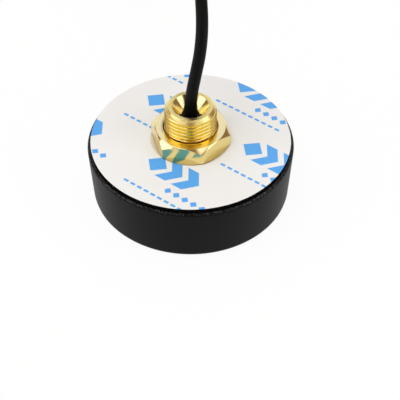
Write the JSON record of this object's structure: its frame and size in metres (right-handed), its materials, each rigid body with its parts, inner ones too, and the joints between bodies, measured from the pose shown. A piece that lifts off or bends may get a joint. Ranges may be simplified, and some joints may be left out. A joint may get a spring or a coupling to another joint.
{
  "type": "gnss receiver",
  "caption": "Screw-mount satellite positioning antenna puck lying on its radome, with adhesive pad and liner, hollow threaded stud, hex nut and coaxial lead with a screw-on plug",
  "frame": {"origin": "centre of the radome's flat outer face, which rests on the ground in this pose", "axes": "+Z along the stud, away from the radome; the picture looks from the -Y side; the lead bends over to +Y and lies coiled there"},
  "size_m": [0.0507, 0.1636, 0.0491],
  "materials": {
    "radome": "fine moulded texture, matte black",
    "base": "smooth black, moulded",
    "seal": "smooth silicone",
    "steel": "plain, machined",
    "pad": "closed-cell foam, black",
    "liner": "white siliconised film with light blue marks",
    "brass": "turned and polished",
    "rubber": "matte black",
    "silver": "fired silver",
    "ceramic": "matte fired ceramic",
    "tape": "pale adhesive film",
    "tin": "tinned, satin",
    "board": "green solder mask",
    "chip": "moulded epoxy",
    "cable": "smooth matte black jacket",
    "copper": "bare copper",
    "dielectric": "off-white insulation",
    "tie": "matte black strap",
    "gold_plate": "gold plated, polished"
  },
  "bodies": {
    "antenna": {"radome": "radome", "base_plate": "base", "housing_seal": "seal", "plate_screw_1": "steel", "plate_screw_2": "steel", "plate_screw_3": "steel", "retaining_ring": "steel", "adhesive_pad": "pad", "release_liner": "liner", "threaded_stud": "brass", "feed_pin": "brass", "cable_bush": "rubber", "plug_sleeve": "rubber", "patch_electrode": "silver", "patch_ceramic": "ceramic", "chip_capacitor_1": "ceramic", "chip_capacitor_2": "ceramic", "chip_capacitor_3": "ceramic", "chip_capacitor_4": "ceramic", "patch_tape": "tape", "feed_solder": "tin", "shield_can": "tin", "band_filter": "tin", "ground_solder": "tin", "signal_solder": "tin", "antenna_board": "board", "amplifier_chip": "chip", "lead_jacket": "cable", "coax_cable": "cable", "cable_coil": "cable", "cable_tail": "cable", "lead_braid": "copper", "lead_conductor": "copper", "lead_core": "dielectric", "plug_insulator": "dielectric", "coil_tie_1": "tie", "coil_tie_2": "tie", "crimp_ferrule": "gold_plate", "plug_body": "gold_plate", "plug_pin": "gold_plate"},
    "washer": {"captive_washer": "steel"},
    "nut": {"hex_nut": "brass"},
    "coupler": {"coupling_nut": "gold_plate", "plug_gasket": "seal"}
  },
  "joints": [
    {"name": "nut_travel", "type": "slide", "parent": "antenna", "child": "washer", "axis": [0, 0, 1], "range_m": [0, 0.01102]},
    {"name": "nut_spin", "type": "hinge", "parent": "washer", "child": "nut", "pos_m": [0, 0, 0.0145], "axis": [0, 0, 1], "range_deg": [0, 3960]},
    {"name": "coupler_spin", "type": "hinge", "parent": "antenna", "child": "coupler", "pos_m": [0.0114, 0.135, 0.004], "axis": [1, 0, 0], "continuous": true}
  ],
  "couplings": [
    {"joint": "nut_travel", "follows": "nut_spin", "m_per_rad": 0.00015915}
  ]
}
